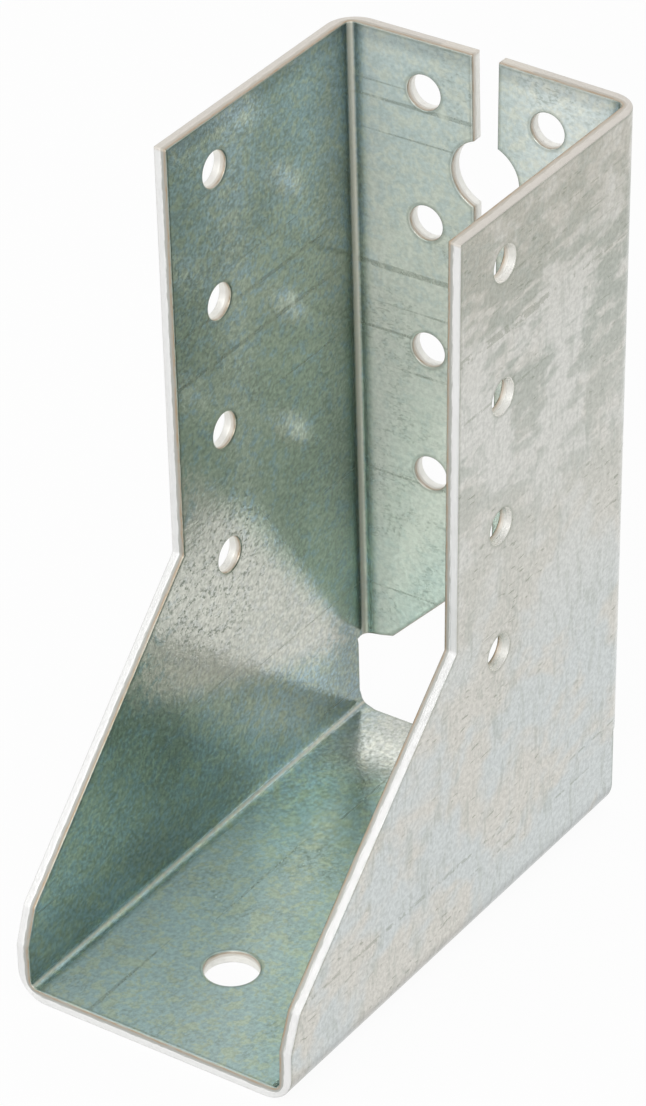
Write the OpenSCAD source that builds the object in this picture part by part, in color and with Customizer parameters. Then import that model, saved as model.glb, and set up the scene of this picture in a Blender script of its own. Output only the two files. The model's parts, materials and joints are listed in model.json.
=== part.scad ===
// Joist hanger with inward flanges, folded from one blank of galvanised sheet.
// +Z is up, X runs across the joist, and the joist slides in from -Y towards the header at +Y.
// The origin is the middle of the bounding box's underside, where the seat stands.
// All sizes are in millimetres and all angles in degrees.

/* [Sheet] */
// Thickness of the sheet
sheet_t = 2; // [1:0.1:3]
// Inside radius of every bend
bend_r = 1; // [0.2:0.1:2.5]
// How much the outside radius exceeds inside radius and thickness, as the press thins the bend
bend_thin = 1.5; // [0:0.1:1.5]
// How far each side leans out from square, which is left by springback
lean = 0.75; // [0:0.05:2]

/* [Seat] */
// Clear width between the sides, where they rise from the seat
seat_w = 40.5; // [38:0.5:60]
// Length of the seat, from its front edge to its rear edge
seat_l = 80; // [76:0.5:82]
// Diameter of the hole in the seat
seat_hole_d = 7.7; // [4:0.1:12]
// Distance of the seat's hole from the front edge
seat_hole_y = 18.3; // [10:0.1:60]

/* [Sides] */
// Overall height, measured along the upright part of a side
side_h = 112; // [100:1:140]
// Overall length, from the seat's front edge to the face that meets the header
hanger_l = 83.4; // [82:0.1:95]
// Length of the upper part of each side, from its front edge to the header
cheek_l = 44.4; // [30:0.1:60]
// Height at which the front edge turns from sloping to upright
knee_h = 49.8; // [40:0.1:70]
// Height of the corner where the slope ends above the seat
toe_h = 14; // [9:0.1:20]
// How far that corner lies behind the seat's front edge
toe_back = 2.1; // [0.2:0.1:5]
// Height over which the front edge stands upright again, above the seat's bend
foot_h = 4; // [0.5:0.1:4.4]

/* [Flanges] */
// Gap between the two flanges, before the sides lean out
flange_gap = 1.3; // [0.5:0.1:6]
// Height at which a flange's lower edge starts beside the side
heel_h = 13.3; // [9:0.1:20]
// Distance from the side's outer face within which the lower edge stays nearly level
heel_w = 6.8; // [5:0.1:12]
// How much the lower edge rises over that distance
heel_rise = 1.2; // [0:0.1:3]
// Slope of the lower edge from there to the flange's free edge
heel_slope = 45; // [20:1:55]

/* [Nail holes] */
// Diameter of a nail hole
nail_d = 5.2; // [3:0.1:6.5]
// Number of nail holes in each column
nail_rows = 4; // [2:1:4]
// Distance between nail holes in a column
nail_pitch = 20; // [16:0.5:22]
// Distance of the highest nail holes from the upper edge
nail_top = 7.8; // [6:0.1:12]
// Distance of a side's nail column from the front edge of its upper part
side_nail_in = 10.5; // [6:0.1:20]
// Distance of a flange's nail column from the outer face of its side
flange_nail_in = 13.8; // [10:0.1:15]

/* [Bolt hole] */
// Diameter of the bolt hole that the two flanges' notches form together
bolt_d = 10.6; // [8:0.1:12]

/* [Hidden] */
$fn = 96;

// Drills and cutters reach this far past the sheet
drill_over = 1;

outer_r = bend_r + sheet_t + bend_thin;
front_y = -hanger_l / 2;
header_y = hanger_l / 2;

// Outer face of a side and the centre of its bends, before it leans out
side_x = seat_w / 2 + sheet_t;
bend_x = side_x - outer_r;
bend_y = header_y - outer_r;

seat_end_y = front_y + seat_l;
cheek_y = header_y - cheek_l;
flange_x = flange_gap / 2;
heel_x = side_x - heel_w;
heel_top = heel_h + heel_rise;

function slope_z(x) = heel_top + (heel_x - x) * tan(heel_slope);

function nail_z(row) = side_h - nail_top - row * nail_pitch;
bolt_z = (nail_z(0) + nail_z(1)) / 2;

// The sheet bent square about +Z, from the +X side round to the +Y side. Its inner face lies
// one thickness inside the outer arc, or end_in from the axis where the bend ends at +Y.
module bend(length, end_in = outer_r - sheet_t) {
    start_in = outer_r - sheet_t;
    cut_l = length + 2 * drill_over;
    difference() {
        rotate_extrude(angle = 90)
            square([outer_r, length]);
        translate([-drill_over, -drill_over, -drill_over])
            cube([drill_over + start_in - bend_r, drill_over + end_in, cut_l]);
        translate([-drill_over, -drill_over, -drill_over])
            cube([drill_over + start_in, drill_over + end_in - bend_r, cut_l]);
        translate([start_in - bend_r, end_in - bend_r, -drill_over])
            cylinder(r = bend_r, h = cut_l);
    }
}

module nail_column(at, turn) {
    for (row = [0 : nail_rows - 1])
        translate([at[0], at[1], nail_z(row)])
            rotate(turn)
                cylinder(d = nail_d, h = sheet_t + 2 * drill_over, center = true);
}

module seat() {
    difference() {
        translate([-bend_x, front_y, 0])
            cube([2 * bend_x, seat_l, sheet_t]);
        translate([0, front_y + seat_hole_y, sheet_t / 2])
            cylinder(d = seat_hole_d, h = sheet_t + 2 * drill_over, center = true);
    }
}

// The bend between the seat and the side at +X, which meets the seat level with its upper face
module seat_bend() {
    translate([bend_x, front_y, outer_r])
        rotate([-90, 0, 0])
            bend(seat_l, end_in = (outer_r - sheet_t) * cos(lean));
}

// The outline of a side, drawn with Y across and Z up
module side_outline() {
    polygon([
        [front_y, outer_r],
        [front_y, outer_r + foot_h],
        [front_y + toe_back, toe_h],
        [cheek_y, knee_h],
        [cheek_y, side_h],
        [bend_y, side_h],
        [bend_y, heel_h],
        [seat_end_y, heel_h],
        [seat_end_y, outer_r],
    ]);
}

module side() {
    difference() {
        translate([side_x - sheet_t, 0, 0])
            rotate([90, 0, 90])
                linear_extrude(sheet_t)
                    side_outline();
        nail_column([side_x - sheet_t / 2, cheek_y + side_nail_in], [0, 90, 0]);
    }
}

// The flange and the bend that joins it to its side
module flange() {
    difference() {
        union() {
            translate([bend_x, bend_y, heel_h])
                bend(side_h - heel_h);
            translate([flange_x, header_y - sheet_t, heel_h])
                cube([bend_x - flange_x, sheet_t, side_h - heel_h]);
        }
        below_flange();
        nail_column([side_x - flange_nail_in, header_y - sheet_t / 2], [90, 0, 0]);
    }
}

// What is cut away below a flange, drawn with X across and Z up
module below_flange() {
    translate([0, header_y + drill_over, 0])
        rotate([90, 0, 0])
            linear_extrude(outer_r + 2 * drill_over)
                polygon([
                    [side_x, heel_h],
                    [side_x - sheet_t, heel_h],
                    [heel_x, heel_top],
                    [flange_x - drill_over, slope_z(flange_x - drill_over)],
                    [flange_x - drill_over, heel_h - drill_over],
                    [side_x, heel_h - drill_over],
                ]);
}

// Turns what it holds about the seat's bend, so that the top leans out
module leaning_out() {
    translate([bend_x, 0, outer_r])
        rotate([0, lean, 0])
            translate([-bend_x, 0, -outer_r])
                children();
}

// One side with its bends and flange; the lean opens the lower bend, so it ends at the seat
module half() {
    difference() {
        leaning_out() {
            seat_bend();
            side();
            flange();
        }
        translate([bend_x - sheet_t, front_y - drill_over, -drill_over])
            cube([sheet_t, seat_l + 2 * drill_over, sheet_t + 2 * drill_over]);
    }
}

module hanger() {
    color([0.68, 0.71, 0.69])
        difference() {
            union() {
                seat();
                half();
                mirror([1, 0, 0])
                    half();
            }
            translate([0, header_y - sheet_t / 2, bolt_z])
                rotate([90, 0, 0])
                    cylinder(d = bolt_d, h = sheet_t + 2 * drill_over, center = true);
        }
}

hanger();
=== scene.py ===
"""Looks of the joist hanger: one blank of galvanised sheet, punched flat and then folded.

The sheet is made here the way the real one is. Its outline and holes are laid out flat, in
millimetres, along (with the rolling direction, which is the hanger's length) and across (from
the middle of the seat, up each side). Rims are cut with the round shoulder that a punch
leaves, and fold() then bends the flat sheet to the hanger's own size and place.

The finish is laid out on the same flat sheet, by three places in the same millimetres: along;
height, which is the distance across, whichever side it is on; and depth, which is 0 on the
inner face and the sheet's thickness on the outer one.
"""

import json
import math
from types import SimpleNamespace

import bpy
import numpy as np
from mathutils import Matrix, Vector, geometry

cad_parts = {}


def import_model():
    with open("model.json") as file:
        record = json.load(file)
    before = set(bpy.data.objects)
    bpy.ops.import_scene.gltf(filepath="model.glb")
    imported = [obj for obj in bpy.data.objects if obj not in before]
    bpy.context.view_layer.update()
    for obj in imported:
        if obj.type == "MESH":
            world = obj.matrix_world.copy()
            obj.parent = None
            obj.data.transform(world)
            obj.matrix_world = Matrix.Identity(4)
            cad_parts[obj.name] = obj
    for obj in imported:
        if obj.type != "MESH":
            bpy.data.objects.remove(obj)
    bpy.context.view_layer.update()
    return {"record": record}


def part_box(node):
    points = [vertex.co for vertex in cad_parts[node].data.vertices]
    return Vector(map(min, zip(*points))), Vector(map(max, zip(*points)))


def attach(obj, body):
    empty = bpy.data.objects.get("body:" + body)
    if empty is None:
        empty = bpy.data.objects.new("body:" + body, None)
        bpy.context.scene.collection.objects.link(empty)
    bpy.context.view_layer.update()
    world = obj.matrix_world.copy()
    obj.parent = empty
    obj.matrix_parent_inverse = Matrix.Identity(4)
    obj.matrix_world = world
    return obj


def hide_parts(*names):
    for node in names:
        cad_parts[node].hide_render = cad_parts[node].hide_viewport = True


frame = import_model()

MM = 0.001
MOUNTS = {m["name"]: m for m in frame["record"]["mounts"]}
LOW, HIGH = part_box("hanger")
MIDDLE = (Vector(LOW) + Vector(HIGH)) / 2

# ---------------------------------------------------------------- the sheet's sizes, in mm
# Named as in the part's source. Those that the frame states are read from it.
SHEET_T = MOUNTS["seat_hole"]["dims"]["length_mm"]
BEND_R = 1.0
BEND_THIN = 1.5
LEAN = -math.asin(MOUNTS["side_nail_right_1"]["axis"][2])
SEAT_W = 40.5
SEAT_L = 80.0
SIDE_H = 112.0
HANGER_L = (HIGH[1] - LOW[1]) / MM
CHEEK_L = 44.4
KNEE_H = 49.8
TOE_H = 14.0
TOE_BACK = 2.1
FOOT_H = 4.0
FLANGE_GAP = 1.3
HEEL_H = 13.3
HEEL_W = 6.8
HEEL_RISE = 1.2
HEEL_SLOPE = math.radians(45)
BOLT_R = MOUNTS["bolt_hole"]["dims"]["r_mm"]

OUTER_R = BEND_R + SHEET_T + BEND_THIN
FRONT_Y = -HANGER_L / 2
HEADER_Y = HANGER_L / 2
SIDE_X = SEAT_W / 2 + SHEET_T
BEND_X = SIDE_X - OUTER_R
BEND_Y = HEADER_Y - OUTER_R
CHEEK_Y = HEADER_Y - CHEEK_L
SEAT_END_Y = FRONT_Y + SEAT_L

# The bends' turns, and their lengths along the flat sheet's middle layer
SEAT_TURN = math.pi / 2 - LEAN
FLANGE_TURN = math.pi / 2


def bend_length(turn):
    inner = 2 * BEND_THIN * math.tan(turn / 2) + BEND_R * turn
    return (inner + OUTER_R * turn) / 2


SEAT_ARC = bend_length(SEAT_TURN)
FLANGE_ARC = bend_length(FLANGE_TURN)

# The bends' places: heights for the one beside the seat, and along for the one at the flange
SEAT_BEND_MID = BEND_X + SEAT_ARC / 2
SEAT_BEND_END = BEND_X + SEAT_ARC
FLANGE_BEND_MID = BEND_Y + FLANGE_ARC / 2
FLANGE_BEND_END = BEND_Y + FLANGE_ARC

# The flange's bend dies away over this height below its heel
HEEL_FADE = 0.8
# How far the squeezed inner face stands out behind the seat's bends, and over what length
BULGE = 0.6
BULGE_L = 4.0


def across_at(height):
    """Flat distance from the seat's middle to a height on a side."""
    return SEAT_BEND_END + height - OUTER_R


def along_at(x):
    """Flat distance along the sheet to a distance from the middle plane, on a flange."""
    return FLANGE_BEND_END + BEND_X - x


TOP = across_at(SIDE_H)
FREE_EDGE = along_at(FLANGE_GAP / 2)


def bent(ahead, arc, turn, depth):
    """A bend's section: places forward and inward of its start, and the turn reached there.

    The outer face follows one wide arc. The inner one runs on flat, turns tightly and runs on
    flat again, so that the sheet is thinner in the middle of the bend.
    """
    share = np.clip(ahead / arc, 0, 1)
    level = depth / SHEET_T
    outer_turn = share * turn
    outer_on = OUTER_R * np.sin(outer_turn)
    outer_in = OUTER_R - SHEET_T - OUTER_R * np.cos(outer_turn)

    flat = BEND_THIN * math.tan(turn / 2)
    run = share * (2 * flat + BEND_R * turn)
    inner_turn = np.clip((run - flat) / BEND_R, 0, turn)
    after = np.maximum(run - flat - BEND_R * turn, 0)
    inner_on = np.minimum(run, flat) + BEND_R * np.sin(inner_turn) + after * math.cos(turn)
    inner_in = BEND_R * (1 - np.cos(inner_turn)) + after * math.sin(turn)

    before, beyond = np.minimum(ahead, 0), np.maximum(ahead - arc, 0)
    on = inner_on + (outer_on - inner_on) * level + beyond * math.cos(turn) + before
    inward = inner_in + (outer_in - inner_in) * level + beyond * math.sin(turn)
    return on, inward, inner_turn + (outer_turn - inner_turn) * level


def fold(along, across, depth):
    """Places and outward normals of points of the flat sheet; depth is 0 on its inner face."""
    side = np.where(across < 0, -1.0, 1.0)
    out = np.abs(across)
    on, up, turn = bent(out - BEND_X, SEAT_ARC, SEAT_TURN, depth)
    sin, cos = np.sin(turn), np.cos(turn)

    ahead = np.maximum(along - BEND_Y, 0)
    back, inward, swing = bent(ahead, FLANGE_ARC, FLANGE_TURN, depth)
    held = np.clip((out - across_at(HEEL_H - HEEL_FADE)) / HEEL_FADE, 0, 1) * (ahead > 0)
    shift = -(inward + depth) * held
    swing = swing * held

    in_bend = np.sin(np.clip((out - BEND_X) / SEAT_ARC, 0, 1) * math.pi)
    near_end = np.clip(1 - (SEAT_END_Y - along) / BULGE_L, 0, 1) ** 2
    bulge = BULGE * in_bend * near_end * (1 - depth / SHEET_T)

    x = BEND_X + on + shift * sin
    z = SHEET_T + up - shift * cos
    y = along + (BEND_Y + back - along) * held + bulge
    place = np.stack([side * x, y, z], axis=-1)
    normal = np.stack([side * sin * np.cos(swing), np.sin(swing), -cos * np.cos(swing)], axis=-1)
    return place, normal


# ---------------------------------------------------------------- outlines in the flat sheet
# Spacing of points along rims
RIM_STEP = 0.45


def circle(centre, radius):
    count = int(2 * math.pi * radius / RIM_STEP / 4 + 1) * 4
    turns = np.arange(count) * 2 * math.pi / count
    return np.array(centre) + radius * np.stack([np.cos(turns), np.sin(turns)], axis=1)


def line(start, end):
    """Evenly spaced points from start up to, but not including, end."""
    start, end = np.array(start), np.array(end)
    count = max(1, round(float(np.linalg.norm(end - start)) / RIM_STEP))
    return start + (end - start) * (np.arange(count) / count)[:, None]


def flat_place(mount):
    """Where a hole's mount lies in the flat sheet."""
    x, y, z = (c / MM for c in MOUNTS[mount]["pos_m"])
    out, up = abs(x) - BEND_X, z - OUTER_R
    if up < 0 and out < 0:
        return y, x
    upright_x = out * math.cos(LEAN) - up * math.sin(LEAN) + BEND_X
    height = out * math.sin(LEAN) + up * math.cos(LEAN) + OUTER_R
    along = y if y < BEND_Y else along_at(upright_x)
    return along, math.copysign(across_at(height), x)


def notch():
    """The half of the bolt hole in the right flange, from its upper mouth to its lower one."""
    along, across = flat_place("bolt_hole")
    reach = math.acos((along - FREE_EDGE) / BOLT_R)
    count = round(2 * reach * BOLT_R / RIM_STEP)
    turns = np.linspace(-reach, reach, count)
    return [(along - BOLT_R * math.cos(t), across - BOLT_R * math.sin(t)) for t in turns]


def half_outline():
    """The blank's outline on the +X side, from the middle of its front edge to its rear edge."""
    heel_x = SIDE_X - HEEL_W
    heel_top = HEEL_H + HEEL_RISE
    tip = heel_top + (heel_x - FLANGE_GAP / 2) * math.tan(HEEL_SLOPE)
    heel_run = (HEEL_W - SHEET_T) / HEEL_RISE
    bend_end_h = HEEL_H + (SIDE_X - SHEET_T - BEND_X) / heel_run
    corners = [
        (FRONT_Y, 0),
        (FRONT_Y, across_at(OUTER_R + FOOT_H)),
        (FRONT_Y + TOE_BACK, across_at(TOE_H)),
        (CHEEK_Y, across_at(KNEE_H)),
        (CHEEK_Y, TOP),
        (FREE_EDGE, TOP),
        *notch(),
        (FREE_EDGE, across_at(tip)),
        (along_at(heel_x), across_at(heel_top)),
        (FLANGE_BEND_END, across_at(bend_end_h)),
        (SEAT_END_Y, across_at(HEEL_H)),
        (SEAT_END_Y, 0),
    ]
    return np.concatenate([line(a, b) for a, b in zip(corners, corners[1:])])


def blank_outline():
    half = half_outline()
    end = np.array([[SEAT_END_Y, 0.0]])
    other = half[:0:-1] * [1, -1]
    return np.concatenate([half, end, other])


def hole_outlines():
    holes = [n for n, m in MOUNTS.items() if m["kind"] == "bore" and n != "bolt_hole"]
    return [circle(flat_place(n), MOUNTS[n]["dims"]["r_mm"])[::-1] for n in holes]


# ---------------------------------------------------------------- the mesh
# A cut rim's section: how far it is set back from the outline, and its depth in the sheet.
# The punch rounds the inner face over, shears most of the wall and leaves a crisp outer edge.
RIM_SECTION = [
    (0.32, 0.0), (0.20, 0.015), (0.11, 0.05), (0.045, 0.12), (0.01, 0.24), (0.0, 0.42),
    (0.0, 0.85), (0.0, 1.3), (0.0, 1.72), (0.015, 1.86), (0.05, 1.95), (0.12, 2.0),
]
RINGS = len(RIM_SECTION)
# The set-back at which the cut wall's look has given way to the face's
WALL_FADE = 0.12

# Spacing of the mesh over the flats, and its steps round a bend
FLAT_STEP = 2.5
BEND_STEPS = 24
# One band of points follows every rim this far in; the others keep clear of it
BAND = 0.9
BAND_ERROR = 0.04
BAND_CLEAR = 0.35

# A step off a rim that is short enough to stay beside it, to see which side is sheet
BESIDE_RIM = 0.05
# A step off a rim over which the folded sheet is as good as straight, to find its direction
STRAIGHT_STEP = 0.01
# Stands in for the rise of a level edge, which no point's level crosses
NO_RISE = 1e-12
# Points closer than this are one to the triangulation
SAME_POINT = 1e-5
# Points that are compared with the rims at one time, which keeps the arrays small
CHUNK = 1000


def outward(loop):
    """Mitred directions off the sheet, for a loop that blank_loops() has turned to suit."""
    step = np.roll(loop, -1, axis=0) - loop
    step /= np.linalg.norm(step, axis=1)[:, None]
    normal = np.stack([-step[:, 1], step[:, 0]], axis=1)
    before = np.roll(normal, 1, axis=0)
    return (normal + before) / (1 + np.sum(normal * before, axis=1))[:, None]


def inside(points, loops):
    """Which points lie in the sheet: inside the outline and outside the holes."""
    found = np.zeros(len(points), bool)
    for loop in loops:
        a, b = loop, np.roll(loop, -1, axis=0)
        rise = (b - a)[:, 1]
        rise = np.where(rise == 0, NO_RISE, rise)
        for i in range(0, len(points), CHUNK):
            p = points[i:i + CHUNK, None]
            spans = (a[None, :, 1] > p[..., 1]) != (b[None, :, 1] > p[..., 1])
            cross = a[:, 0] + (p[..., 1] - a[:, 1]) * (b - a)[:, 0] / rise
            found[i:i + CHUNK] ^= (np.sum(spans & (p[..., 0] < cross), axis=1) % 2).astype(bool)
    return found


def blank_loops():
    """The outline and the holes, each run so that its outward side is off the sheet."""
    loops = [blank_outline(), *hole_outlines()]
    return [loop if inside(loop[:1] - outward(loop)[:1] * BESIDE_RIM, loops)[0] else loop[::-1]
            for loop in loops]


def rim_distance(points, loops):
    """Distance from each point to the nearest point of the loops."""
    rims = np.concatenate(loops)
    near = np.empty(len(points))
    for i in range(0, len(points), CHUNK):
        gap = points[i:i + CHUNK, None] - rims[None]
        near[i:i + CHUNK] = np.sqrt((gap ** 2).sum(axis=2).min(axis=1))
    return near


def bend_lines(start, length):
    return start + length * np.arange(BEND_STEPS + 1) / BEND_STEPS


def spread(low, high):
    count = max(1, round((high - low) / FLAT_STEP))
    return np.linspace(low, high, count + 1)


def distinct(*places):
    """The places in order, without those that two stretches of the grid share."""
    return np.unique(np.round(np.concatenate(places), 4))


def inner_points(loops):
    """Points that carry the mesh over the flats and round the bends, clear of every rim."""
    across = np.concatenate([
        spread(0, BEND_X), bend_lines(BEND_X, SEAT_ARC), spread(SEAT_BEND_END, TOP)])
    across = distinct(across, -across)
    along = distinct(
        spread(FRONT_Y, BEND_Y), bend_lines(BEND_Y, FLANGE_ARC), spread(FLANGE_BEND_END, FREE_EDGE))
    grid = np.stack(np.meshgrid(along, across), axis=-1).reshape(-1, 2)
    band = np.concatenate([loop - outward(loop) * BAND for loop in loops])
    points = np.concatenate([grid, band])
    points = points[inside(points, loops)]
    near = rim_distance(points, loops)
    return points[(np.abs(near - BAND) < BAND_ERROR) | (near > BAND + BAND_CLEAR)]


def flat_points(rim, step, filling):
    """Flat coordinates of every vertex: the rim's rings first, then both faces' own points."""
    rings = [(rim - step * back, depth) for back, depth in RIM_SECTION]
    faces = [(filling, depth) for depth in (0.0, SHEET_T)]
    return np.concatenate([np.column_stack([points, np.full(len(points), depth)])
                           for points, depth in rings + faces])


def face_triangles(points, ring_edges, starts):
    """Triangles of one face between its loops, as numbers of its points."""
    made = geometry.delaunay_2d_cdt([Vector(p) for p in points], ring_edges, [], 0, SAME_POINT)
    places, _, triangles, origins, _, _ = made
    triangles = np.array(triangles)
    origins = np.array([first for first, *_ in origins])
    centres = np.array([p[:] for p in places])[triangles].mean(axis=1)
    loops = [points[a:b] for a, b in zip(starts, starts[1:])]
    return origins[triangles[inside(centres, loops)]]


def sheet_faces(flat, filling_count, loops):
    """The mesh's faces, and each one's kind: -1 on the inner face, 1 on the outer, 0 on rims."""
    starts = np.cumsum([0] + [len(loop) for loop in loops])
    rim_count = starts[-1]
    ring_edges = [(a + i, a + (i + 1) % (b - a))
                  for a, b in zip(starts, starts[1:]) for i in range(b - a)]
    faces, kinds = [], []
    for kind, ring, skipped in ((-1, 0, 0), (1, RINGS - 1, filling_count)):
        own = ring * rim_count + np.arange(rim_count)
        filling = RINGS * rim_count + skipped + np.arange(filling_count)
        ids = np.concatenate([own, filling])
        triangles = ids[face_triangles(flat[ids, :2], ring_edges, starts)]
        # The inner face is seen from the other side, so its triangles run the other way round
        faces += triangles[:, ::kind].tolist()
        kinds += [kind] * len(triangles)
    for a, b in ring_edges:
        for ring in range(RINGS - 1):
            low, high = ring * rim_count, (ring + 1) * rim_count
            faces.append([low + b, low + a, high + a, high + b])
            kinds.append(0)
    return faces, kinds


def rim_normals(flat, place, normal, step):
    """Normals of the rims' rings, which turn over from the inner face to the outer one."""
    rim_count = len(step)
    count = RINGS * rim_count
    ahead = np.tile(step, (RINGS, 1)) * STRAIGHT_STEP
    moved, _ = fold(flat[:count, 0] + ahead[:, 0], flat[:count, 1] + ahead[:, 1], flat[:count, 2])
    sideways = moved - place[:count]
    sideways /= np.linalg.norm(sideways, axis=1)[:, None]
    slope = np.gradient(np.array(RIM_SECTION), axis=0)
    slope /= np.linalg.norm(slope, axis=1)[:, None]
    # Across the section, (set back, depth) turns into (sideways, outward)
    back, depth = (np.repeat(column, rim_count)[:, None] for column in slope.T)
    turned = depth * sideways + back * normal[:count]
    turned[:rim_count] = -normal[:rim_count]
    turned[-rim_count:] = normal[count - rim_count:count]
    return turned


def set_normals(mesh, kinds, normal, rim_normal):
    """Smooth shading that follows the sheet's own form and not the mesh's facets."""
    sizes = np.empty(len(mesh.polygons), int)
    mesh.polygons.foreach_get("loop_total", sizes)
    kind = np.repeat(kinds, sizes)
    on_rim = kind == 0
    vertex = np.empty(len(mesh.loops), int)
    mesh.loops.foreach_get("vertex_index", vertex)
    corners = np.empty((len(mesh.loops), 3))
    corners[on_rim] = rim_normal[vertex[on_rim]]
    corners[~on_rim] = normal[vertex[~on_rim]] * kind[~on_rim, None]
    mesh.polygons.foreach_set("use_smooth", np.ones(len(mesh.polygons), bool))
    mesh.normals_split_custom_set(corners.tolist())


def add_fields(mesh, flat, filling, loops):
    """What the finish is laid out by: blank, the flat sheet's coordinates, and three shares.

    wall is 1 on cut walls. near_rim falls from 1 at a rim to 0 at the band beside it. punched
    is 1 on the paler rims: those of the holes and of the flanges' facing edges.
    """
    rim_count = sum(len(loop) for loop in loops)
    count = RINGS * rim_count
    wall, near_rim, punched = np.zeros((3, len(flat)))
    wall[:count] = np.repeat([1 - min(1, back / WALL_FADE) for back, _ in RIM_SECTION], rim_count)
    near_rim[:count] = 1
    near_rim[count:] = np.tile(np.clip(1 - rim_distance(filling, loops) / BAND, 0, 1), 2)
    in_hole = np.arange(rim_count) >= len(loops[0])
    facing = flat[:rim_count, 0] > FREE_EDGE - BOLT_R
    punched[:count] = np.tile(in_hole | facing, RINGS)

    blank = mesh.attributes.new("blank", "FLOAT_VECTOR", "POINT")
    blank.data.foreach_set("vector", flat.astype(np.float32).ravel())
    for name, values in (("wall", wall), ("near_rim", near_rim), ("punched", punched)):
        field = mesh.attributes.new(name, "FLOAT", "POINT")
        field.data.foreach_set("value", values.astype(np.float32))


def build_sheet(name):
    loops = blank_loops()
    rim = np.concatenate(loops)
    step = np.concatenate([outward(loop) for loop in loops])
    filling = inner_points(loops)
    flat = flat_points(rim, step, filling)
    faces, kinds = sheet_faces(flat, len(filling), loops)
    place, normal = fold(*flat.T)

    mesh = bpy.data.meshes.new(name)
    mesh.from_pydata((place * MM).tolist(), [], faces)
    set_normals(mesh, kinds, normal, rim_normals(flat, place, normal, step))
    add_fields(mesh, flat, filling, loops)
    sheet = bpy.data.objects.new(name, mesh)
    bpy.context.scene.collection.objects.link(sheet)
    return sheet


# ---------------------------------------------------------------- node graphs
class Graph:
    """Short ways to add nodes to a material or a world."""

    def __init__(self, owner):
        owner.use_nodes = True
        self.tree = owner.node_tree

    def node(self, kind, sockets=None, **options):
        made = self.tree.nodes.new("ShaderNode" + kind)
        for name, value in options.items():
            setattr(made, name, value)
        for key, value in (sockets or {}).items():
            if isinstance(value, bpy.types.NodeSocket):
                self.tree.links.new(value, made.inputs[key])
            else:
                made.inputs[key].default_value = value
        return made

    def field(self, name):
        """A number that the mesh carries."""
        return self.node("Attribute", attribute_name=name).outputs["Fac"]

    def calc(self, operation, first, second=0.0):
        return self.node("Math", {0: first, 1: second}, operation=operation).outputs[0]

    def times(self, first, *others):
        for other in others:
            first = self.calc("MULTIPLY", first, other)
        return first

    def plus(self, first, second):
        return self.calc("ADD", first, second)

    def minus(self, first, second):
        return self.calc("SUBTRACT", first, second)

    def most(self, first, *others):
        for other in others:
            first = self.calc("MAXIMUM", first, other)
        return first

    def ramp(self, value, span, to_low=0.0, to_high=1.0):
        """Smooth change from to_low to to_high as value crosses the span."""
        sockets = {"Value": value, "From Min": span[0], "From Max": span[1],
                   "To Min": to_low, "To Max": to_high}
        return self.node("MapRange", sockets, interpolation_type="SMOOTHSTEP").outputs["Result"]

    def fade(self, value, span):
        """1 before the span and 0 past it."""
        return self.ramp(value, span, 1, 0)

    def between(self, share, low, high):
        """Smooth change from low to high as a share goes from 0 to 1."""
        return self.ramp(share, (0, 1), low, high)

    def varied(self, noise, low, high):
        """Smooth change from low to high over the levels that a noise mostly has."""
        return self.ramp(noise, (0.3, 0.7), low, high)

    def noise(self, vector, scale=1.0, detail=2.0, roughness=0.5, distortion=0.0):
        sockets = {"Vector": vector, "Scale": scale, "Detail": detail, "Roughness": roughness,
                   "Distortion": distortion}
        return self.node("TexNoise", sockets).outputs["Fac"]

    def placed(self, vector, stretch, place):
        """A vector stretched along its axes and moved, so that noises don't repeat each other."""
        sockets = {0: vector, 1: stretch, 2: place}
        return self.node("VectorMath", sockets, operation="MULTIPLY_ADD").outputs[0]

    def distance(self, along, height, place):
        """Distance from a place on the flat sheet."""
        gap = self.node("CombineXYZ", {0: self.minus(along, place[0]),
                                       1: self.minus(height, place[1])}).outputs[0]
        return self.node("VectorMath", {0: gap}, operation="LENGTH").outputs["Value"]

    def mix(self, share, first, second, blend="MIX"):
        made = self.node("Mix", {0: share, 6: first, 7: second}, data_type="RGBA", blend_type=blend)
        return made.outputs[2]

    def shade(self, value):
        """A grey colour of that value."""
        return self.node("CombineColor", {0: value, 1: value, 2: value}).outputs[0]


# ---------------------------------------------------------------- the zinc
INNER_OLIVE = (0.505, 0.595, 0.495, 1)
INNER_BLUE = (0.42, 0.565, 0.595, 1)
INNER_MOSS = (0.33, 0.42, 0.345, 1)
INNER_WARM = (0.76, 0.75, 0.68, 1)
OUTER_ZINC = (0.63, 0.615, 0.565, 1)
OUTER_BLUE = (0.57, 0.605, 0.60, 1)
OUTER_GREEN = (0.375, 0.405, 0.36, 1)
WARM_SMEAR = (0.465, 0.44, 0.375, 1)
DARK_FLECK_AND_SHADE = (0.225, 0.25, 0.19, 1)
PALE_BLOOM_AND_LIGHT = (0.87, 0.86, 0.80, 1)
BEND_CREAM = (0.74, 0.71, 0.61, 1)
CUT_DULL = (0.44, 0.445, 0.415, 1)
HOLE_DULL = (0.74, 0.71, 0.65, 1)
CUT_BRIGHT = (0.86, 0.86, 0.85, 1)
HOLE_BRIGHT = (0.93, 0.92, 0.88, 1)
CUT_STAINED = (0.60, 0.54, 0.46, 1)
BURR_BROWN = (0.43, 0.29, 0.17, 1)

# How much of the surface mirrors as bare metal does; the rest is the coat's dull bloom
METAL_BARE = 0.87
METAL_DULLED = 0.38

# Below, a span is a pair of numbers over which a look sets in or fades. Spans of along, height
# and depth are in mm on the flat sheet, and most others are levels of a noise.

# The depth at which the inner face's look gives way to the outer one's, and how much faster
# the noises change with depth than over the sheet, so that the two faces carry different marks
FACE_CHANGE = (0.9, 1.1)
DEPTH_STRETCH = 15

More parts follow.
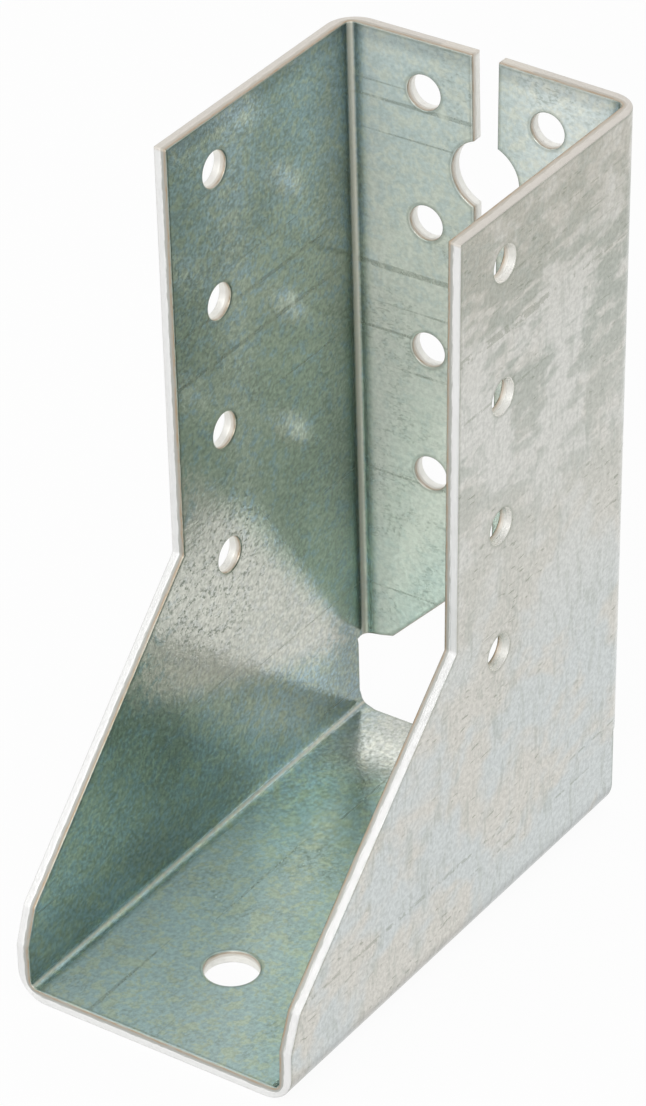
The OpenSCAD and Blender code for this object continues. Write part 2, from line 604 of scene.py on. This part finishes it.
# The rubbed, warmer zone inside each side: the middle and reach of its round part, how ragged
# that is, and the slants and heights (at along 0) of its two straight borders
RUBBED_AT = (15.0, 56.0)
RUBBED_REACH = (24, 36)
RUBBED_RAGGED = 6
RUBBED_SLANT = 0.36
RUBBED_FROM = (42, 48)
RUBBED_TOP_SLANT = 1.29
RUBBED_TO = (76, 86)
# The one on the rear of the seat starts at this along and ends at this height
SEAT_RUBBED_FROM = (18, 30)
SEAT_RUBBED_TO = (12, 24)
# The flecked part of the side's zone, round the lowest nail hole
FLECKED_AT = (5.0, 61.0)
FLECKED_REACH = (7, 19)

# How strongly marks darken, on the inner face and on the outer one. Scratches are whole on the
# inner face and broken on the outer one.
DASH_DARK = (0.35, 0.55)
FLECK_DARK = (0.65, 0.2)
SCRATCH_DARK = 0.45
BROKEN_SCRATCH_DARK = 0.4

# The seat's bloom: its share at the front, the span of along over which it fades, and how
# pale it is
SEAT_BLOOM = 0.7
SEAT_BLOOM_TO = (-8, 22)
SEAT_BLOOM_PALE = 0.12
# A flange's bloom is paler in patches; it is also made paler low down than near the top, which is
# painted light
FLANGE_PALE = (0.85, 0.6)
FLANGE_HEIGHTS = (60, 125)
FLANGE_PAINTED_LIGHT = (1.35, 0.75)

# The outer face: heights over which smudges gather, an edge stain sets in and blue fades, and
# how ragged the smudges are
SMUDGED_FROM = (55, 125)
STAINED_FROM = (102, 132)
BLUE_TO = (45, 85)
SMUDGE_RAGGED = 0.10

# The tone that each of these leaves, as a share of the clean sheet's. The first three are painted
# shade: along the upper edge, beside the bends and under the seat's bend.
TOP_PAINTED_SHADE = 0.78
BEND_PAINTED_SHADE = 0.66
UNDER_PAINTED_SHADE = 0.64
BLOOM_TONE = 1.27
# How far the painted shade reaches: down from the upper edge, out from the flange's bend, up from
# the seat's
TOP_SHADE_FROM, TOP_SHADE_FULL = 3.5, 1
FLANGE_SHADE_REACH = 12
SEAT_SHADE_REACH = 14

# Half widths of a crease and of the strained metal round it. The seat's crease is narrower
# than that, and the flange's is wider.
CREASE = (0.2, 0.7)
STRAINED = (0.3, 0.9)
SEAT_CREASE_LESS = 0.25
FLANGE_CREASE_MORE = 0.1

# Cut walls: the depths at which the sheared part ends and at which the burr's tint fades, and
# how far the first wanders
BREAK = (0.72, 0.98)
BREAK_RAGGED = 0.12
BURR = (0.15, 0.65)


# In these functions, g is the graph that takes the nodes, and f holds the fields
def sheet_fields(g):
    """The places, and the noises over them, that every part of the finish is made from."""
    blank = g.node("Attribute", attribute_name="blank").outputs["Vector"]
    along, across, depth = g.node("SeparateXYZ", {0: blank}).outputs
    outer = g.ramp(depth, FACE_CHANGE)
    sheet = g.placed(blank, (1, 1, DEPTH_STRETCH), (0, 0, 0))

    def noise(stretch, place, *settings):
        return g.noise(g.placed(sheet, stretch, place), *settings)

    return SimpleNamespace(
        wall=g.field("wall"),
        near_rim=g.field("near_rim"),
        punched=g.field("punched"),
        along=along,
        height=g.calc("ABSOLUTE", across),
        depth=depth,
        outer=outer,
        inner=g.minus(1.0, outer),
        fine=g.noise(sheet, 1.4, 3, 0.65),
        mottle=noise((1, 1, 1), (5.3, 61.7, 9.4), 0.52, 3, 0.68, 0.3),
        cloud=noise((1, 1, 1), (90.2, 14.6, 2.7), 0.07, 3, 0.6, 0.3),
        speck=noise((1.6, 2.2, 1), (31.5, 7.1, 3.3), 1.0, 2, 0.6),
        # Drawn out across the rolling direction, and the rest along it
        drawn=noise((0.7, 0.16, 1), (8.8, 50.4, 4.6), 1.0, 3, 0.7, 0.6),
        smear=noise((0.16, 0.42, 1), (60.1, 5.2, 12.9), 1.0, 3, 0.6, 0.4),
        dash=noise((0.55, 2.2, 1), (2.4, 3.9, 40.3), 1.0, 1, 0.5),
        track=noise((0.011, 0.8, 1), (3.6, 17.2, 23.5), 1.0, 1, 0.4),
    )


def rubbed_zone(g, f):
    """1 where the coat is rubbed pale and warm, inside the sides and on the rear of the seat."""
    ragged = g.varied(f.mottle, -RUBBED_RAGGED, RUBBED_RAGGED)
    far = g.plus(g.distance(f.along, f.height, RUBBED_AT), ragged)
    low_border = g.plus(f.height, g.times(f.along, RUBBED_SLANT))
    top_border = g.plus(f.height, g.times(f.along, RUBBED_TOP_SLANT))
    on_side = g.times(g.fade(far, RUBBED_REACH), g.ramp(low_border, RUBBED_FROM),
                      g.fade(top_border, RUBBED_TO))
    on_seat = g.times(g.ramp(f.along, SEAT_RUBBED_FROM), g.fade(f.height, SEAT_RUBBED_TO))
    return g.most(on_side, on_seat)


def dark_marks(g, f):
    """Short dashes and long scratches along the rolling direction, and small dark flecks."""
    dashes = g.times(g.ramp(f.dash, (0.66, 0.72)), g.ramp(f.cloud, (0.46, 0.60), 0.1, 1),
                     g.between(f.outer, *DASH_DARK))
    scratches = g.times(g.ramp(f.track, (0.69, 0.72)), g.ramp(f.mottle, (0.36, 0.5), 0.3, 1),
                        f.inner, SCRATCH_DARK)
    broken = g.times(g.ramp(f.track, (0.70, 0.73)), g.ramp(f.mottle, (0.48, 0.54)),
                     f.outer, BROKEN_SCRATCH_DARK)
    by_hole = g.ramp(g.distance(f.along, f.height, FLECKED_AT), FLECKED_REACH, 1, 0.1)
    crowd = g.most(g.ramp(f.cloud, (0.46, 0.60), 0.05, 0.55), by_hole)
    flecks = g.times(g.ramp(f.speck, (0.51, 0.63)),
                     g.times(crowd, g.ramp(f.mottle, (0.40, 0.54))),
                     g.between(f.outer, *FLECK_DARK))
    return g.most(dashes, scratches, broken, flecks)


def inner_look(g, f):
    """The inner face turns from olive to blue in patches, under moss, and is warm where rubbed.

    It is bluer on the seat and near the top.
    """
    hue = g.plus(g.ramp(f.height, (24, 60), 0.03, -0.06), g.ramp(f.height, (85, 125), 0, 0.10))
    colour = g.mix(g.ramp(g.plus(f.mottle, hue), (0.43, 0.57)), INNER_OLIVE, INNER_BLUE)
    colour = g.mix(g.times(f.rubbed, 0.8), colour, INNER_WARM)
    bare = g.times(g.between(f.dulled, 1, 0.35), g.between(f.rubbed, 1, 0.25))
    moss = g.plus(f.speck, g.times(g.minus(f.cloud, 0.5), 0.5))
    moss = g.times(g.ramp(moss, (0.44, 0.60), 0, 0.55), bare)
    return g.mix(moss, colour, INNER_MOSS)


def outer_look(g, f):
    """The outer face is bluer low down, and smudged and stained towards its upper edge."""
    low_down = g.times(g.ramp(f.height, BLUE_TO, 1, 0.3), g.fade(f.cloud, (0.44, 0.58)))
    colour = g.mix(low_down, OUTER_ZINC, OUTER_BLUE)
    colour = g.mix(g.ramp(f.drawn, (0.50, 0.66), 0, 0.38), colour, OUTER_GREEN)
    smudge = g.plus(f.cloud, g.varied(f.smear, -SMUDGE_RAGGED, SMUDGE_RAGGED))
    smudge = g.times(g.ramp(smudge, (0.43, 0.57)), g.ramp(f.height, SMUDGED_FROM))
    colour = g.mix(smudge, colour, OUTER_GREEN)
    stain = g.times(g.ramp(f.height, STAINED_FROM), g.ramp(f.mottle, (0.3, 0.6), 0.5, 1))
    return g.mix(g.times(stain, 0.7), colour, WARM_SMEAR)


def bloom_pale_and_light(g, f):
    """How pale the bloom is: on the flanges in patches, with painted light making them paler low
    down, and a little on the seat.
    """
    on_flange = g.times(f.on_flange, f.inner, g.varied(f.mottle, *FLANGE_PALE),
                        g.ramp(f.height, FLANGE_HEIGHTS, *FLANGE_PAINTED_LIGHT))
    return g.most(on_flange, g.times(f.on_seat, f.inner, SEAT_BLOOM_PALE))


def tone(g, f):
    """Uneven tone, with painted shade beside and under the bends and along the upper edge."""
    uneven = g.plus(g.ramp(f.fine, (0.36, 0.64), 1.20, 0.88),
                    g.ramp(f.cloud, (0.35, 0.65), 0.03, -0.03))
    strength = g.times(g.between(f.outer, 1, 0.6), g.between(f.dulled, 1, 0.5))
    value = g.plus(1.0, g.times(g.minus(uneven, 1.0), strength))

    by_top = g.ramp(f.height, (across_at(SIDE_H - TOP_SHADE_FROM),
                               across_at(SIDE_H - TOP_SHADE_FULL)))
    by_flange = g.times(
        g.ramp(f.along, (BEND_Y - FLANGE_SHADE_REACH, FLANGE_BEND_MID)),
        g.fade(f.along, (FLANGE_BEND_MID, FLANGE_BEND_END)))
    by_seat = g.times(
        g.ramp(f.height, (SEAT_BEND_MID, SEAT_BEND_END)),
        g.fade(f.height, (SEAT_BEND_END, SEAT_BEND_END + SEAT_SHADE_REACH)),
        g.ramp(f.along, (-16, 2), 1, 0.3))
    under = g.fade(f.height, (BEND_X + SEAT_ARC * 0.7, SEAT_BEND_END + 1))
    # Painted shade: darker along the upper edge and beside the bends on the inner face, and under
    # the seat's bend on the outer face
    for painted_shade, left in ((g.times(by_top, f.inner), TOP_PAINTED_SHADE),
                        (g.times(g.most(by_flange, by_seat), f.inner), BEND_PAINTED_SHADE),
                        (g.times(under, f.outer), UNDER_PAINTED_SHADE)):
        value = g.times(value, g.between(painted_shade, 1, left))

    # The inner face is darker up the sides and towards the rear, and lighter at the front
    shaded = g.times(f.inner, g.ramp(f.along, (-20, -2), -0.5, 1),
                     g.ramp(f.height, (SEAT_BEND_MID, SEAT_BEND_END), 0.2, 1))
    return g.times(value, g.minus(g.between(f.dulled, 1, BLOOM_TONE), g.times(shaded, 0.17)))


def cut_look(g, f):
    """Cut walls: dull where the punch sheared them, bright where they broke away."""
    sheared = g.plus(f.depth, g.varied(f.mottle, -BREAK_RAGGED, BREAK_RAGGED))
    colour = g.mix(g.ramp(sheared, BREAK), g.mix(f.punched, CUT_DULL, HOLE_DULL),
                   g.mix(f.punched, CUT_BRIGHT, HOLE_BRIGHT))
    colour = g.mix(g.ramp(f.height, (TOP - 0.6, TOP - 0.2), 0, 0.6), colour, CUT_STAINED)
    burr = g.times(g.fade(f.depth, BURR), g.ramp(f.mottle, (0.42, 0.58), 0.3, 1.0))
    return g.mix(burr, colour, BURR_BROWN)


def relief(g, f):
    """The coat's waves: fine on the inner face, drawn out up the sides on the outer one."""
    fine = g.times(f.fine, g.between(f.outer, 0.012, 0.015))
    mottled = g.times(f.mottle, g.between(f.outer, 0.035, 0.03))
    return g.plus(g.plus(fine, mottled), g.times(f.drawn, f.outer, 0.10))


def zinc():
    material = bpy.data.materials.new("zinc")
    g = Graph(material)
    f = sheet_fields(g)
    f.rubbed = rubbed_zone(g, f)
    # The bloom is thickest on the flanges and on the front of the seat
    f.on_flange = g.ramp(f.along, (FLANGE_BEND_MID, FLANGE_BEND_END + 1))
    f.on_seat = g.times(g.fade(f.height, (BEND_X, SEAT_BEND_MID)),
                        g.ramp(f.along, SEAT_BLOOM_TO, SEAT_BLOOM, 0))
    f.dulled = g.times(g.most(f.on_flange, f.on_seat), f.inner)
    # The tight inner bends are scuffed to a dull cream
    seat_crease = g.calc("ABSOLUTE", g.minus(f.height, SEAT_BEND_MID))
    flange_crease = g.calc("ABSOLUTE", g.minus(f.along, FLANGE_BEND_MID))
    to_crease = g.calc("MINIMUM", g.plus(seat_crease, SEAT_CREASE_LESS),
                       g.minus(flange_crease, FLANGE_CREASE_MORE))
    crease = g.times(g.fade(to_crease, CREASE), f.inner)
    strained = g.times(g.fade(to_crease, STRAINED), f.inner)
    marks = dark_marks(g, f)

    colour = g.mix(f.outer, inner_look(g, f), outer_look(g, f))
    # Pale bloom, with painted light low on the flanges
    colour = g.mix(bloom_pale_and_light(g, f), colour, PALE_BLOOM_AND_LIGHT)
    colour = g.mix(1.0, colour, g.shade(tone(g, f)), "MULTIPLY")
    colour = g.mix(marks, colour, DARK_FLECK_AND_SHADE)
    # Darker just inside every rim: partly grime, partly painted shade of the punch's rounded
    # shoulder
    colour = g.mix(g.ramp(f.near_rim, (0.3, 1.0), 0, 0.35), colour, DARK_FLECK_AND_SHADE)
    colour = g.mix(g.times(crease, 0.75), colour, BEND_CREAM)
    colour = g.mix(f.wall, colour, cut_look(g, f))

    metallic = g.times(g.between(f.dulled, METAL_BARE, METAL_DULLED),
                       g.between(strained, 1, 0.75))
    roughness = g.plus(g.varied(f.mottle, 0.15, 0.21), g.times(marks, 0.2))
    roughness = g.plus(roughness, g.times(strained, 0.3))
    roughness = g.most(roughness, g.times(f.wall, 0.5))
    bump = g.node("Bump", {"Strength": 1.0, "Distance": MM, "Height": relief(g, f)})

    shader = g.tree.nodes["Principled BSDF"]
    for name, value in (("Base Color", colour), ("Metallic", metallic),
                        ("Roughness", roughness), ("Normal", bump.outputs[0])):
        g.tree.links.new(value, shader.inputs[name])
    return material


# ---------------------------------------------------------------- stage, lights and camera
FLOOR_HALF = 3.0
FLOOR_WHITE = 0.9
# Share of plain white in the floor's look; the rest is lit paper, which keeps the shadow
FLOOR_GLOW = 0.94
# The world's strength: in the light that it gives, and as it is seen or mirrored
WORLD_LIGHT = 0.7
WORLD_SEEN = 1.0

# Degrees round and above the hanger's middle, metres from it, and the lens in mm
CAMERA_AZIMUTH = 34.58
CAMERA_ELEVATION = 33.14
CAMERA_ROLL = 0.99
CAMERA_DISTANCE = 0.7669
SENSOR_WIDTH = 36
FOCAL_LENGTH = 188.1


def seen_or_mirrored(g):
    """1 on the camera's own rays and on those that metal sends on, 0 on the rest."""
    path = g.node("LightPath")
    mirrored = g.most(path.outputs["Is Glossy Ray"], path.outputs["Is Transmission Ray"])
    return g.most(path.outputs["Is Camera Ray"], mirrored)


def floor():
    material = bpy.data.materials.new("floor")
    material.use_nodes = True
    material.node_tree.nodes.clear()
    material.cycles.emission_sampling = "NONE"
    g = Graph(material)
    paper = g.node("BsdfDiffuse", {"Color": (FLOOR_WHITE, FLOOR_WHITE, FLOOR_WHITE, 1)}).outputs[0]
    glow = g.node("Emission", {"Color": (1, 1, 1, 1), "Strength": 1.0}).outputs[0]
    share = g.times(seen_or_mirrored(g), FLOOR_GLOW)
    blend = g.node("MixShader", {0: share, 1: paper, 2: glow}).outputs[0]
    g.node("OutputMaterial", {"Surface": blend})
    mesh = bpy.data.meshes.new("floor")
    corners = [(x * FLOOR_HALF, y * FLOOR_HALF, 0) for x, y in ((-1, -1), (1, -1), (1, 1), (-1, 1))]
    mesh.from_pydata(corners, [], [(0, 1, 2, 3)])
    mesh.materials.append(material)
    plane = bpy.data.objects.new("floor", mesh)
    bpy.context.scene.collection.objects.link(plane)


def world():
    studio = bpy.data.worlds.new("studio")
    bpy.context.scene.world = studio
    studio.cycles.sampling_method = "NONE"
    g = Graph(studio)
    strength = g.between(seen_or_mirrored(g), WORLD_LIGHT, WORLD_SEEN)
    background = g.tree.nodes["Background"]
    background.inputs["Color"].default_value = (1, 1, 1, 1)
    g.tree.links.new(strength, background.inputs["Strength"])


def direction(azimuth, elevation):
    """The way out from the hanger's middle; azimuth 0 is the front and 90 degrees is +X."""
    azimuth, elevation = math.radians(azimuth), math.radians(elevation)
    return Vector((math.sin(azimuth) * math.cos(elevation),
                   -math.cos(azimuth) * math.cos(elevation), math.sin(elevation)))


def softbox(name, azimuth, elevation, distance, size, radiance):
    """A softbox of that width and height, facing the hanger."""
    way = direction(azimuth, elevation)
    lamp = bpy.data.lights.new(name, "AREA")
    lamp.shape = "RECTANGLE"
    lamp.size, lamp.size_y = size
    lamp.energy = radiance * math.pi * size[0] * size[1]
    box = bpy.data.objects.new(name, lamp)
    box.location = MIDDLE + way * distance
    box.rotation_euler = way.to_track_quat("Z", "Y").to_euler()
    bpy.context.scene.collection.objects.link(box)


def camera():
    """The viewpoint that gives the photograph's own perspective."""
    way = direction(CAMERA_AZIMUTH, CAMERA_ELEVATION)
    lens = bpy.data.cameras.new("camera")
    lens.sensor_width = SENSOR_WIDTH
    lens.lens = FOCAL_LENGTH
    view = bpy.data.objects.new("camera", lens)
    roll = Matrix.Rotation(-math.radians(CAMERA_ROLL), 3, "Z")
    turn = (-way).to_track_quat("-Z", "Y").to_matrix() @ roll
    view.matrix_world = Matrix.Translation(MIDDLE + way * CAMERA_DISTANCE) @ turn.to_4x4()
    bpy.context.scene.collection.objects.link(view)
    bpy.context.scene.camera = view


hanger = build_sheet("folded_sheet")
hanger.data.materials.append(zinc())
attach(hanger, "root")
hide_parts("hanger")

floor()
world()
softbox("key_softbox", 24, 33, 1.2, (0.36, 0.56), 4.0)
softbox("front_softbox", 0, 33, 1.2, (1.8, 0.56), 0.8)
softbox("back_softbox", 214, 33, 1.2, (0.5, 0.5), 0.3)
camera()
bpy.context.scene.view_settings.view_transform = "Standard"
